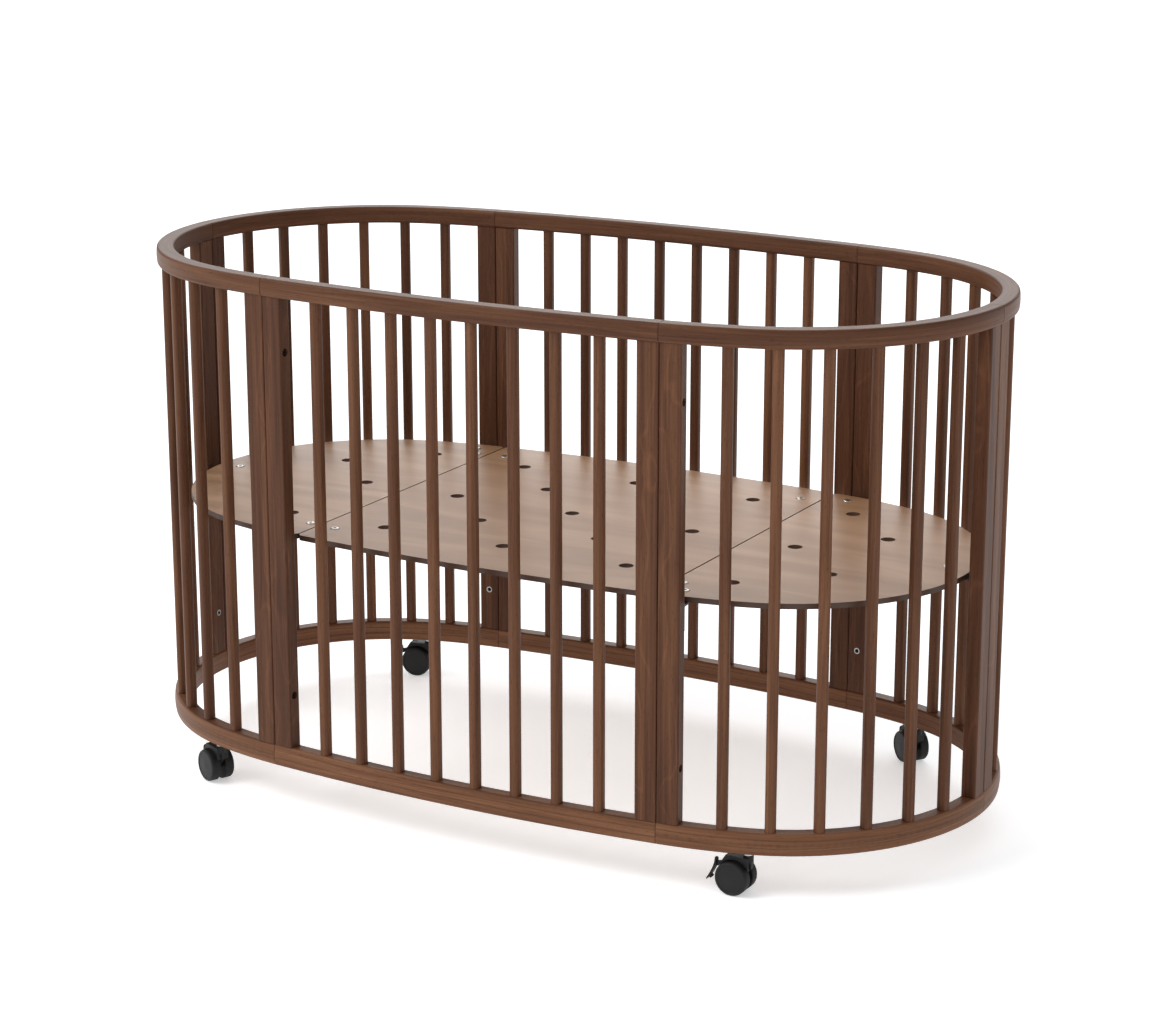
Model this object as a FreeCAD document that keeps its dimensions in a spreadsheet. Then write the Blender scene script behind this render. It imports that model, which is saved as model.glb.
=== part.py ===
import FreeCAD, Part
import math
import os
import Sketcher
from FreeCAD import Placement, Rotation, Vector

# An oval slatted baby crib on four twin-wheel casters.
# Frame: +Z up, X along the length, Y across the width, origin on the floor under the middle.
# Six curved frame panels stand in a ring. Each has a top rail, a bottom rail, two stiles and a
# row of slats, and neighbouring panels are bolted together stile to stile.

doc = FreeCAD.newDocument("baby_crib")

# ---------------------------------------------------------------- driving sizes, millimetres

SIZES = [
    # plan outline: the line that the slats stand on
    ("half_length", 672.8),
    ("joint_x", 325.0),
    ("joint_y", 327.0),
    ("front_bow", 17.0),
    ("end_radius", 316.0),
    ("seam", 0.8),
    # top rail
    ("rail_top", 813.0),
    ("rail_height", 27.0),
    ("rail_outer", 13.5),
    ("rail_inner", 12.5),
    ("rail_round", 4.0),
    # bottom rail
    ("ring_base", 63.0),
    ("ring_height", 33.0),
    ("ring_outer", 11.0),
    ("ring_inner", 12.0),
    ("ring_round", 3.5),
    ("bulge_radius", 75.0),
    # stiles and slats
    ("stile_width", 33.0),
    ("stile_depth", 22.0),
    ("stile_round", 2.5),
    ("slat_width", 16.0),
    ("slat_depth", 16.5),
    ("slat_round", 6.5),
    ("tenon_radius", 5.0),
    ("tenon_length", 12.0),
    ("tenon_spread", 7.5),
    ("glue_gap", 0.1),
    # panel bolts, with their threaded sleeves
    ("bolt_low", 178.0),
    ("bolt_high", 704.0),
    ("bolt_radius", 3.0),
    ("bolt_head_radius", 5.0),
    ("bolt_head_height", 6.0),
    ("bolt_sink_radius", 6.0),
    ("bolt_sink_depth", 8.0),
    ("hex_radius", 2.9),
    ("hex_depth", 3.0),
    ("insert_radius", 5.0),
    ("insert_length", 15.0),
    ("insert_bore", 3.1),
    ("bracket_low", 165.0),
    ("bracket_high", 394.0),
    # mattress base
    ("base_top", 421.5),
    ("base_thickness", 8.0),
    ("base_margin", 25.5),
    ("base_split", 299.0),
    ("base_split_gap", 2.4),
    ("base_corner", 9.0),
    ("vent_radius", 11.0),
    ("vent_pitch", 103.0),
    ("vent_end_row", 376.0),
    # steel brackets under the base
    ("plate", 3.0),
    ("bracket_width", 30.0),
    ("bracket_drop", 38.0),
    ("cap_radius", 6.5),
    ("cap_height", 3.2),
    ("cap_sink_radius", 7.0),
    ("cap_sink", 2.0),
    ("nut_radius", 5.5),
    ("nut_height", 5.0),
    # casters
    ("caster_x", 454.0),
    ("trail", 19.0),
    ("wheel_radius", 25.0),
    ("wheel_width", 15.5),
    ("wheel_gap", 9.0),
    ("axle_radius", 2.5),
    ("axle_half", 16.5),
    ("stem_radius", 4.0),
    ("stem_length", 20.0),
    ("running_gap", 0.06),
    ("swivel_gap", 0.4),
    ("collar_radius", 7.2),
    ("collar_bevel", 1.0),
    ("collar_low", 50.0),
    ("flange_radius", 7.2),
    ("flange_height", 2.5),
    ("boss_radius", 6.4),
    ("boss_low", 48.0),
    ("web", 7.0),
    ("hood_width", 20.0),
    ("hood_radius", 26.3),
    ("hood_top", 57.0),
    ("lever_slot", 3.6),
    ("lever_arm", 3.0),
    ("lever_width", 8.5),
    ("lever_pin", 1.6),
    ("lever_eye", 3.6),
    ("lever_pivot_back", 11.5),
    ("lever_pivot_up", 17.5),
    ("lever_travel", 16.0),
    # heading of each caster, degrees anticlockwise from +X
    ("heading_front_left", -25.0),
    ("heading_front_right", 0.0),
    ("heading_back_left", 13.0),
    ("heading_back_right", -38.0),
]

sheet = doc.addObject("Spreadsheet::Sheet", "Sizes")
for row, (alias, value) in enumerate(SIZES, start=1):
    sheet.set(f"A{row}", alias)
    sheet.set(f"B{row}", str(value))
    sheet.setAlias(f"B{row}", alias)
doc.recompute()


def size(alias):
    return float(sheet.get(alias))


def bind(thing, prop, expression):
    """Tie a property to the sheet. Bare aliases are written with a leading dot."""
    thing.setExpression(prop, expression.replace(" .", " Sizes."))


NODES = []


def node(thing, label):
    thing.Label = label
    NODES.append(thing)
    return thing


# ---------------------------------------------------------------- plan outline

X_JOINT = size("joint_x")
Y_JOINT = size("joint_y")
BOW = size("front_bow")
R_FRONT = (X_JOINT**2 + BOW**2) / (2 * BOW)
LEAN = math.asin(X_JOINT / R_FRONT)
R_END = size("end_radius")


def shoulder():
    """Radius of the short arc that joins the front arc to the end arc, and where it ends."""
    across = size("half_length") - X_JOINT - R_END
    top = across**2 + Y_JOINT**2 - R_END**2
    radius = top / (2 * (Y_JOINT * math.cos(LEAN) - across * math.sin(LEAN) - R_END))
    run = across + radius * math.sin(LEAN)
    rise = radius * math.cos(LEAN) - Y_JOINT
    return radius, math.atan2(run, rise)


R_SHOULDER, TURN = shoulder()


class Arc:
    """A stretch of the plan outline, run anticlockwise between two polar angles."""

    def __init__(self, x, y, radius, start, end):
        self.x = x
        self.y = y
        self.radius = radius
        self.start = start
        self.end = end

    @property
    def length(self):
        return self.radius * (self.end - self.start)

    def turned(self):
        return Arc(-self.x, -self.y, self.radius, self.start + math.pi, self.end + math.pi)

    def flipped(self):
        return Arc(self.x, -self.y, self.radius, -self.end, -self.start)

    def point(self, angle, offset=0.0):
        reach = self.radius + offset
        return Vector(self.x + reach * math.cos(angle), self.y + reach * math.sin(angle), 0)

    def at_x(self, x, offset):
        """Angle at which the offset arc reaches a given X on its lower side."""
        return -math.acos((x - self.x) / (self.radius + offset))

    def edge(self, offset=0.0, start=None, end=None):
        first = self.start if start is None else start
        last = self.end if end is None else end
        circle = Part.Circle(Vector(self.x, self.y, 0), Vector(0, 0, 1), self.radius + offset)
        return Part.ArcOfCircle(circle, first, last)


QUARTER = math.pi / 2
FRONT = Arc(0, R_FRONT - Y_JOINT - BOW, R_FRONT, LEAN * -1 - QUARTER, LEAN - QUARTER)
SHOULDER = Arc(
    X_JOINT - R_SHOULDER * math.sin(LEAN),
    R_SHOULDER * math.cos(LEAN) - Y_JOINT,
    R_SHOULDER,
    LEAN - QUARTER,
    TURN - QUARTER,
)
END = Arc(size("half_length") - R_END, 0, R_END, TURN - QUARTER, 0)

RIGHT_FRONT = [SHOULDER, END]
RIGHT_BACK = [END.flipped(), SHOULDER.flipped()]
PANELS = {
    "front": [FRONT],
    "right_front": RIGHT_FRONT,
    "right_back": RIGHT_BACK,
    "back": [FRONT.turned()],
    "left_back": [arc.turned() for arc in RIGHT_FRONT],
    "left_front": [arc.turned() for arc in RIGHT_BACK],
}
SLAT_COUNT = {name: 8 if name in ("front", "back") else 6 for name in PANELS}


def along(arcs, distance):
    """Point on a panel's line and its outward angle, a distance from the panel's start."""
    for arc in arcs[:-1]:
        if distance <= arc.length:
            break
        distance -= arc.length
    else:
        arc = arcs[-1]
    angle = arc.start + distance / arc.radius
    return arc.point(angle), angle


def upright(point, angle, z=0.0):
    """Placement whose local X runs anticlockwise along the outline and local Y points inwards."""
    return Placement(Vector(point.x, point.y, z), Rotation(Vector(0, 0, 1), math.degrees(angle) + 90))


def panel_length(arcs):
    return sum(arc.length for arc in arcs)


def slat_distances(name):
    """Distances of the slats along a panel: every gap between uprights is equal."""
    count = SLAT_COUNT[name]
    clear = panel_length(PANELS[name]) - 2 * size("stile_width") - count * size("slat_width")
    gap = clear / (count + 1)
    first = size("stile_width") + gap + size("slat_width") / 2
    return [first + k * (gap + size("slat_width")) for k in range(count)]


# ---------------------------------------------------------------- sketch helpers

ORIGIN_POINT = (-1, 1)
START, FINISH, CENTRE = 1, 2, 3


def plane(body, role):
    return next(item for item in body.Origin.OriginFeatures if item.Role == role)


def sketch_on(body, name, role, offset=Placement()):
    sketch = body.newObject("Sketcher::SketchObject", name)
    sketch.AttachmentSupport = [(plane(body, role), "")]
    sketch.MapMode = "FlatFace"
    sketch.AttachmentOffset = offset
    return sketch


def constrain(sketch, *args):
    return sketch.addConstraint(Sketcher.Constraint(*args))


def named(sketch, name, expression, *args):
    """A dimension with a name, driven by the sheet."""
    index = constrain(sketch, *args)
    sketch.renameConstraint(index, name)
    bind(sketch, f"Constraints.{name}", expression)


def circles(sketch, centres, expression, radius):
    """Equal circles whose radius is driven by the sheet."""
    ids = [
        sketch.addGeometry(Part.Circle(Vector(x, y, 0), Vector(0, 0, 1), radius), False)
        for x, y in centres
    ]
    named(sketch, f"radius{ids[0]}", expression, "Radius", ids[0], radius)
    for other in ids[1:]:
        constrain(sketch, "Equal", ids[0], other)
    return ids


def outline(sketch, points):
    """Closed polygon of straight edges."""
    corners = [Vector(x, y, 0) for x, y in points]
    pairs = list(zip(corners, corners[1:] + corners[:1]))
    ids = [sketch.addGeometry(Part.LineSegment(a, b), False) for a, b in pairs]
    for this, following in zip(ids, ids[1:] + ids[:1]):
        constrain(sketch, "Coincident", this, FINISH, following, START)
    return ids


def rectangle(sketch, x0, x1, y0, y1):
    return outline(sketch, [(x0, y0), (x1, y0), (x1, y1), (x0, y1)])


def pad(body, sketch, expression, reverse=False, middle=False):
    feature = body.newObject("PartDesign::Pad", f"{sketch.Name}_pad")
    feature.Profile = sketch
    bind(feature, "Length", expression)
    feature.Reversed = reverse
    feature.Midplane = middle
    sketch.Visibility = False
    return feature


def pocket(body, sketch, expression, reverse=False, middle=False):
    """Cut a sketch out of the body, and refuse a cut that takes nothing away."""
    doc.recompute()
    before = body.Shape.Volume
    feature = body.newObject("PartDesign::Pocket", f"{sketch.Name}_cut")
    feature.Profile = sketch
    bind(feature, "Length", expression)
    feature.Reversed = reverse
    feature.Midplane = middle
    doc.recompute()
    if body.Shape.Volume > before - 1.0:
        raise RuntimeError(f"{body.Label}: {sketch.Name} cut nothing away")
    return feature


def dress(body, kind, name, pick, prop, expression):
    """Fillet or chamfer the edges of the body's tip that pick() accepts."""
    doc.recompute()
    base = body.Tip
    edges = [f"Edge{i}" for i, edge in enumerate(base.Shape.Edges, start=1) if pick(edge)]
    if not edges:
        raise RuntimeError(f"{body.Label}: no edges for {name}")
    feature = body.newObject(f"PartDesign::{kind}", name)
    feature.Base = (base, edges)
    bind(feature, prop, expression)
    doc.recompute()
    return feature


# ---------------------------------------------------------------- rails

def is_flat_arc(edge):
    """A long horizontal arc, as along a rail's corner."""
    if edge.Curve.TypeId != "Part::GeomCircle" or edge.Length < 30:
        return False
    return abs(edge.Curve.Axis.z) > 0.99


def rail_section(body, arc, name, kind, shrink_start, shrink_end):
    """Rail profile turned about the arc's centre: flat inside, top and underside, bulged outside."""
    start = arc.start + shrink_start / arc.radius
    end = arc.end - shrink_end / arc.radius
    middle = math.degrees((start + end) / 2)
    low = size("ring_base") if kind == "ring" else size("rail_top") - size("rail_height")
    height = size(f"{kind}_height")
    inside = arc.radius - size(f"{kind}_inner")
    outside = arc.radius + size(f"{kind}_outer")
    bulge = size("bulge_radius")
    seat = Placement(Vector(arc.x, 0, -arc.y), Rotation(Vector(0, 1, 0), middle))
    sketch = sketch_on(body, name, "XZ_Plane", seat)
    half = math.asin(height / 2 / bulge)
    centre = Vector(outside - bulge * math.cos(half), low + height / 2, 0)
    bottom = sketch.addGeometry(Part.LineSegment(Vector(inside, low, 0), Vector(outside, low, 0)), False)
    circle = Part.Circle(centre, Vector(0, 0, 1), bulge)
    outer = sketch.addGeometry(Part.ArcOfCircle(circle, -half, half), False)
    high = low + height
    top = sketch.addGeometry(Part.LineSegment(Vector(outside, high, 0), Vector(inside, high, 0)), False)
    inner = sketch.addGeometry(Part.LineSegment(Vector(inside, high, 0), Vector(inside, low, 0)), False)
    constrain(sketch, "Coincident", bottom, FINISH, outer, START)
    constrain(sketch, "Coincident", outer, FINISH, top, START)
    constrain(sketch, "Coincident", top, FINISH, inner, START)
    constrain(sketch, "Coincident", inner, FINISH, bottom, START)
    constrain(sketch, "Horizontal", bottom)
    constrain(sketch, "Horizontal", top)
    constrain(sketch, "Vertical", inner)
    constrain(sketch, "Equal", bottom, top)
    constrain(sketch, "DistanceX", *ORIGIN_POINT, bottom, START, inside)
    floor = " .ring_base" if kind == "ring" else " .rail_top - .rail_height"
    named(sketch, "low", floor, "DistanceY", *ORIGIN_POINT, bottom, START, low)
    named(sketch, "height", f" .{kind}_height", "DistanceY", inner, FINISH, inner, START, height)
    width = f" .{kind}_inner + .{kind}_outer"
    named(sketch, "width", width, "DistanceX", bottom, START, bottom, FINISH, outside - inside)
    named(sketch, "bulge", " .bulge_radius", "Radius", outer, bulge)
    turn = body.newObject("PartDesign::Revolution", f"{name}_turned")
    turn.Profile = sketch
    turn.ReferenceAxis = (sketch, ["V_Axis"])
    turn.Angle = math.degrees(end - start)
    turn.Midplane = True
    return turn


def tenon_spots(name):
    """Plan positions of the tenons that enter a panel's rails: two a stile, one a slat."""
    arcs = PANELS[name]
    total = panel_length(arcs)
    spots = []
    for distance, sign in ((0.0, 1), (total, -1)):
        point, angle = along(arcs, distance)
        seat = upright(point, angle)
        for side in (-1, 1):
            reach = size("stile_width") / 2 + side * size("tenon_spread")
            spots.append(seat.multVec(Vector(sign * reach, 0, 0)))
    for distance in slat_distances(name):
        spots.append(along(arcs, distance)[0])
    return [(spot.x, spot.y) for spot in spots]


def rail(name, kind):
    """One panel's top rail or bottom rail, with the holes for its tenons."""
    arcs = PANELS[name]
    label = f"{name}_{'top' if kind == 'rail' else 'bottom'}_rail"
    body = node(doc.addObject("PartDesign::Body", label), label)
    gap = size("seam") / 2
    for k, arc in enumerate(arcs):
        shrink_start = gap if k == 0 else 0.0
        shrink_end = gap if k == len(arcs) - 1 else 0.0
        rail_section(body, arc, f"{label}_profile{k}", kind, shrink_start, shrink_end)
    dress(body, "Fillet", f"{label}_rounding", is_flat_arc, "Radius", f" .{kind}_round")
    high = size("rail_top") - size("rail_height")
    mouth = high if kind == "rail" else size("ring_base") + size("ring_height")
    sketch = sketch_on(body, f"{label}_mortises", "XY_Plane", Placement(Vector(0, 0, mouth), Rotation()))
    circles(sketch, tenon_spots(name), " .tenon_radius + .glue_gap", size("tenon_radius"))
    pocket(body, sketch, " .tenon_length + 1", reverse=(kind == "rail"))
    return body


# ---------------------------------------------------------------- stiles

UPRIGHT_HEIGHT = " .rail_top - .rail_height - .ring_base - .ring_height"

# The stiles whose inner face carries the brackets' threaded inserts.
BRACKET_STILES = [
    ("right_front", "left"),
    ("right_back", "right"),
    ("right_back", "left"),
    ("left_back", "left"),
    ("left_front", "right"),
    ("left_front", "left"),
]


def ring_top():
    return size("ring_base") + size("ring_height")


def stile_seat(name, side):
    """Placement of a stile: the joint plane is local X = 0, and local Y points inwards."""
    arcs = PANELS[name]
    distance = 0.0 if side == "left" else panel_length(arcs)
    point, angle = along(arcs, distance)
    return upright(point, angle)


def shift_z(height):
    return Placement(Vector(0, 0, height), Rotation())


def is_upright(edge):
    return edge.Curve.TypeId == "Part::GeomLine" and abs(edge.tangentAt(edge.FirstParameter).z) > 0.99


def stile(name, side):
    """A post at one end of a panel. Left and right are as seen from outside the crib."""
    label = f"{name}_stile_{side}"
    body = node(doc.addObject("PartDesign::Body", label), label)
    sign = 1 if side == "left" else -1
    near = sign * size("seam") / 2
    far = sign * size("stile_width")
    half = size("stile_depth") / 2
    plan = sketch_on(body, f"{label}_plan", "XY_Plane", shift_z(ring_top()))
    rectangle(plan, min(near, far), max(near, far), -half, half)
    pad(body, plan, UPRIGHT_HEIGHT)
    dress(body, "Fillet", f"{label}_rounding", is_upright, "Radius", " .stile_round")
    spots = [(sign * (size("stile_width") / 2 + k * size("tenon_spread")), 0) for k in (-1, 1)]
    under_rail = size("rail_top") - size("rail_height")
    for end, height, down in (("foot", ring_top(), True), ("head", under_rail, False)):
        tenons = sketch_on(body, f"{label}_{end}", "XY_Plane", shift_z(height))
        circles(tenons, spots, " .tenon_radius", size("tenon_radius"))
        pad(body, tenons, " .tenon_length", reverse=down)
    heights = [(0, size("bolt_low")), (0, size("bolt_high"))]
    if side == "left":
        holes = sketch_on(body, f"{label}_bolt_holes", "YZ_Plane")
        circles(holes, heights, " .bolt_radius + 0.5", size("bolt_radius"))
        pocket(body, holes, " .stile_width", reverse=True)
        sinks = sketch_on(body, f"{label}_bolt_sinks", "YZ_Plane", shift_z(size("stile_width")))
        circles(sinks, heights, " .bolt_sink_radius", size("bolt_sink_radius"))
        pocket(body, sinks, " .bolt_sink_depth")
    else:
        holes = sketch_on(body, f"{label}_insert_holes", "YZ_Plane")
        circles(holes, heights, " .insert_radius", size("insert_radius"))
        pocket(body, holes, " .insert_length + .seam / 2")
    if (name, side) in BRACKET_STILES:
        across = sign * size("stile_width") / 2
        spots = [(across, size("bracket_low")), (across, size("bracket_high"))]
        holes = sketch_on(body, f"{label}_bracket_holes", "XZ_Plane", shift_z(-half))
        circles(holes, spots, " .insert_radius", size("insert_radius"))
        pocket(body, holes, " .insert_length", reverse=True)
    body.Placement = stile_seat(name, side)
    return body


# ---------------------------------------------------------------- grouped pieces

def master(kind, name, **expressions):
    """A Part primitive with its sizes driven by the sheet. It isn't a node itself."""
    thing = doc.addObject(kind, name)
    for prop, expression in expressions.items():
        bind(thing, prop, expression)
    return thing


def combine(kind, name, *things):
    thing = doc.addObject(kind, name)
    if kind == "Part::Cut":
        thing.Base, thing.Tool = things
    else:
        thing.Shapes = list(things)
    doc.recompute()
    return thing


def group(label, pieces):
    """One node that holds several separate solids: a list of (shape, placement)."""
    solids = []
    for shape, seat in pieces:
        copy = shape.copy()
        copy.Placement = seat.multiply(copy.Placement)
        solids.extend(copy.Solids)
    feature = node(doc.addObject("Part::Feature", label), label)
    feature.Shape = Part.makeCompound(solids)
    return feature


def slat_master():
    """A slat standing on the floor plane's ring line: local X along the panel, Y inwards."""
    body = doc.addObject("PartDesign::Body", "slat_master")
    plan = sketch_on(body, "slat_plan", "XY_Plane", shift_z(ring_top()))
    half_width = size("slat_width") / 2
    half_depth = size("slat_depth") / 2
    rectangle(plan, -half_width, half_width, -half_depth, half_depth)
    pad(body, plan, UPRIGHT_HEIGHT)
    dress(body, "Fillet", "slat_rounding", is_upright, "Radius", " .slat_round")
    under_rail = size("rail_top") - size("rail_height")
    for end, height, down in (("foot", ring_top(), True), ("head", under_rail, False)):
        tenon = sketch_on(body, f"slat_{end}", "XY_Plane", shift_z(height))
        circles(tenon, [(0, 0)], " .tenon_radius", size("tenon_radius"))
        pad(body, tenon, " .tenon_length", reverse=down)
    doc.recompute()
    return body.Shape


def insert_master():
    """Threaded sleeve, mouth at the origin, going in along +Z, with a hexagon socket mouth."""
    sleeve = master("Part::Cylinder", "insert_sleeve", Radius=" .insert_radius - .running_gap",
                    Height=" .insert_length")
    bore = master("Part::Cylinder", "insert_bore", Radius=" .insert_bore", Height=" .insert_length")
    socket = master("Part::Prism", "insert_socket", Circumradius=" .insert_bore + 0.7",
                    Height=" .hex_depth")
    socket.Polygon = 6
    hollow = combine("Part::MultiFuse", "insert_hollow", bore, socket)
    return combine("Part::Cut", "insert_master", sleeve, hollow).Shape


def screw_master(name, head_radius, head_height, length, shank_radius):
    """Screw with its head's underside at the origin, head along +Z, shank along -Z."""
    head = master("Part::Cylinder", f"{name}_head", Radius=head_radius, Height=head_height)
    shank = master("Part::Cylinder", f"{name}_shank", Radius=shank_radius, Height=length)
    shank.Placement = Placement(Vector(), Rotation(Vector(1, 0, 0), 180))
    whole = combine("Part::MultiFuse", f"{name}_blank", head, shank)
    rim = [i for i, e in enumerate(whole.Shape.Edges, start=1) if e.BoundBox.ZMin > 1.0 and e.Closed]
    domed = doc.addObject("Part::Fillet", f"{name}_dome")
    domed.Base = whole
    soft = 0.6 * size(head_height.split(".")[1])
    domed.Edges = [(i, soft, soft) for i in rim]
    socket = master("Part::Prism", f"{name}_socket", Circumradius=" .hex_radius", Height=" .hex_depth")
    socket.Polygon = 6
    bind(socket, "Placement.Base.z", f"{head_height} - .hex_depth + 0.5")
    return combine("Part::Cut", f"{name}_master", domed, socket).Shape


AIM_X = Rotation(Vector(0, 1, 0), 90)
AIM_MINUS_X = Rotation(Vector(0, 1, 0), -90)
AIM_Y = Rotation(Vector(1, 0, 0), -90)
AIM_MINUS_Y = Rotation(Vector(1, 0, 0), 90)


def joint_spots():
    """For each stile joint: the placement of the left stile that meets it."""
    return [stile_seat(name, "left") for name in PANELS]


def bracket_spots(height):
    """Mouths of the inner-face inserts: local Y points inwards."""
    spots = []
    for name, side in BRACKET_STILES:
        across = size("stile_width") / 2 * (1 if side == "left" else -1)
        offset = Placement(Vector(across, size("stile_depth") / 2, height), Rotation())
        spots.append(stile_seat(name, side).multiply(offset))
    return spots


def fasteners():
    insert = insert_master()
    panel_bolt = screw_master("panel_bolt", " .bolt_head_radius", " .bolt_head_height",
                              " .stile_width - .bolt_sink_depth + .insert_length - 2", " .bolt_radius")
    base_bolt = screw_master("base_bolt", " .cap_radius", " .cap_height",
                             " .base_thickness - .cap_sink + .plate + .nut_height - 0.5", " .bolt_radius")
    bracket_screw = screw_master("bracket_screw", " .cap_radius", " .cap_height",
                                 " .plate + .insert_length - 3", " .bolt_radius")
    inserts = []
    bolts = []
    for seat in joint_spots():
        for height in (size("bolt_low"), size("bolt_high")):
            mouth = Placement(Vector(-size("seam") / 2, 0, height), AIM_MINUS_X)
            inserts.append((insert, seat.multiply(mouth)))
            under_head = size("stile_width") - size("bolt_sink_depth")
            bolts.append((panel_bolt, seat.multiply(Placement(Vector(under_head, 0, height), AIM_X))))
    screws = []
    for height in (size("bracket_low"), size("bracket_high")):
        for spot in bracket_spots(height):
            inserts.append((insert, spot.multiply(Placement(Vector(), AIM_MINUS_Y))))
    for spot in bracket_spots(size("bracket_high")):
        screws.append((bracket_screw, spot.multiply(Placement(Vector(0, size("plate"), 0), AIM_Y))))
    under_cap = size("base_top") - size("cap_sink")
    caps = [(base_bolt, Placement(Vector(x, y, under_cap), Rotation())) for x, y in base_bolt_spots()]
    group("threaded_inserts", inserts)
    group("panel_bolts", bolts)
    group("bracket_screws", screws)
    group("base_bolts", caps)


# ---------------------------------------------------------------- mattress base

# One corner's three bolts: the first holds the middle section, the others the end section.
CORNER_BOLTS = [(268, 248), (317, 241), (336, 272.5)]
END_BOLT = (609, 16.5)


def base_bolt_spots():
    spots = [(sx * x, sy * y) for x, y in CORNER_BOLTS for sx in (1, -1) for sy in (1, -1)]
    return spots + [END_BOLT, (-END_BOLT[0], -END_BOLT[1])]


def offset_chain(pieces, margin):
    """Sketch arcs of an outline set inwards by the margin, from (arc, first angle, last angle)."""
    return [arc.edge(-margin, first, last) for arc, first, last in pieces]


def chain(sketch, curves):
    """Close a run of arcs with straight edges where their ends don't meet."""
    closed = []
    for curve, following in zip(curves, curves[1:] + curves[:1]):
        closed.append(curve)
        tail = curve.EndPoint
        head = following.StartPoint
        if tail.distanceToPoint(head) > 0.01:
            closed.append(Part.LineSegment(tail, head))
    ids = [sketch.addGeometry(curve, False) for curve in closed]
    for this, following in zip(ids, ids[1:] + ids[:1]):
        constrain(sketch, "Coincident", this, FINISH, following, START)


def base_outlines():
    margin = size("base_margin")
    inner = size("base_split") - size("base_split_gap") / 2
    outer = size("base_split") + size("base_split_gap") / 2
    back = FRONT.turned()
    cut_in = FRONT.at_x(inner, -margin)
    middle = [
        (FRONT, -math.pi - cut_in, cut_in),
        (back, -cut_in, math.pi + cut_in),
    ]
    cut_out = FRONT.at_x(outer, -margin)
    end = [
        (FRONT, cut_out, FRONT.end),
        (SHOULDER, None, None),
        (END, None, None),
        (END.flipped(), None, None),
        (SHOULDER.flipped(), None, None),
        (back, back.start, -cut_out),
    ]
    return offset_chain(middle, margin), offset_chain(end, margin)


def base_section(label, curves, vents, bolts, turned=False):
    body = node(doc.addObject("PartDesign::Body", label), label)
    low = size("base_top") - size("base_thickness")
    plan = sketch_on(body, f"{label}_plan", "XY_Plane", shift_z(low))
    chain(plan, curves)
    pad(body, plan, " .base_thickness")
    split = size("base_split")

    def at_split(edge):
        return is_upright(edge) and abs(abs(edge.CenterOfMass.x) - split) < 3

    dress(body, "Fillet", f"{label}_corners", at_split, "Radius", " .base_corner")
    holes = sketch_on(body, f"{label}_vents", "XY_Plane", shift_z(low))
    circles(holes, vents, " .vent_radius", size("vent_radius"))
    pocket(body, holes, " .base_thickness", reverse=True)
    drilled = sketch_on(body, f"{label}_bolt_holes", "XY_Plane", shift_z(low))
    circles(drilled, bolts, " .bolt_radius + 0.3", size("bolt_radius"))
    pocket(body, drilled, " .base_thickness", reverse=True)
    sinks = sketch_on(body, f"{label}_bolt_sinks", "XY_Plane", shift_z(size("base_top")))
    circles(sinks, bolts, " .cap_sink_radius", size("cap_sink_radius"))
    pocket(body, sinks, " .cap_sink")
    if turned:
        body.Placement = Placement(Vector(), Rotation(Vector(0, 0, 1), 180))
    return body


def mattress_base():
    step = size("vent_pitch")
    grid = [(i * step, j * step) for i in range(-2, 3) for j in range(-2, 3) if (i + j) % 2 == 0]
    row = size("vent_end_row")
    end_vents = [(row, j * 2 * step) for j in (-1, 0, 1)] + [(row + step, j * step) for j in (-1, 1)]
    middle, end = base_outlines()
    hold_middle = [(sx * CORNER_BOLTS[0][0], sy * CORNER_BOLTS[0][1]) for sx in (1, -1) for sy in (1, -1)]
    hold_end = [(x, sy * y) for x, y in CORNER_BOLTS[1:] for sy in (1, -1)] + [END_BOLT]
    base_section("base_middle", middle, grid, hold_middle)
    base_section("base_right", end, end_vents, hold_end)
    base_section("base_left", end, end_vents, hold_end, turned=True)


# ---------------------------------------------------------------- brackets

def to_local(seat, spots):
    inverse = seat.inverse()
    return [inverse.multVec(Vector(x, y, 0)) for x, y in spots]


def bracket(label, seat, leg, bolts):
    """Folded steel angle with welded nuts: a flange on the stile and a leg under the base."""
    body = doc.addObject("PartDesign::Body", label)
    under = size("base_top") - size("base_thickness")
    spots = [(spot.x, spot.y) for spot in to_local(seat, bolts)]
    plan = sketch_on(body, f"{label}_leg", "XY_Plane", shift_z(under))
    outline(plan, leg)
    pad(body, plan, " .plate", reverse=True)
    dress(body, "Fillet", f"{label}_corners", is_upright, "Radius", " .plate")
    nuts = sketch_on(body, f"{label}_nuts", "XY_Plane", shift_z(under - size("plate")))
    circles(nuts, spots, " .nut_radius", size("nut_radius"))
    pad(body, nuts, " .nut_height", reverse=True)
    face = size("stile_depth") / 2
    middle = size("stile_width") / 2
    half = size("bracket_width") / 2
    flange = sketch_on(body, f"{label}_flange", "XZ_Plane", shift_z(-face))
    rectangle(flange, middle - half, middle + half, under - size("bracket_drop"), under)
    pad(body, flange, " .plate", reverse=True)
    bores = sketch_on(body, f"{label}_bores", "XY_Plane", shift_z(under))
    circles(bores, spots, " .bolt_radius + .glue_gap", size("bolt_radius"))
    pocket(body, bores, " .plate + .nut_height")
    hole = sketch_on(body, f"{label}_hole", "XZ_Plane", shift_z(-face))
    circles(hole, [(middle, size("bracket_high"))], " .bolt_radius + .glue_gap", size("bolt_radius"))
    pocket(body, hole, " .plate")
    body.Placement = seat
    doc.recompute()
    return body.Shape


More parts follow.
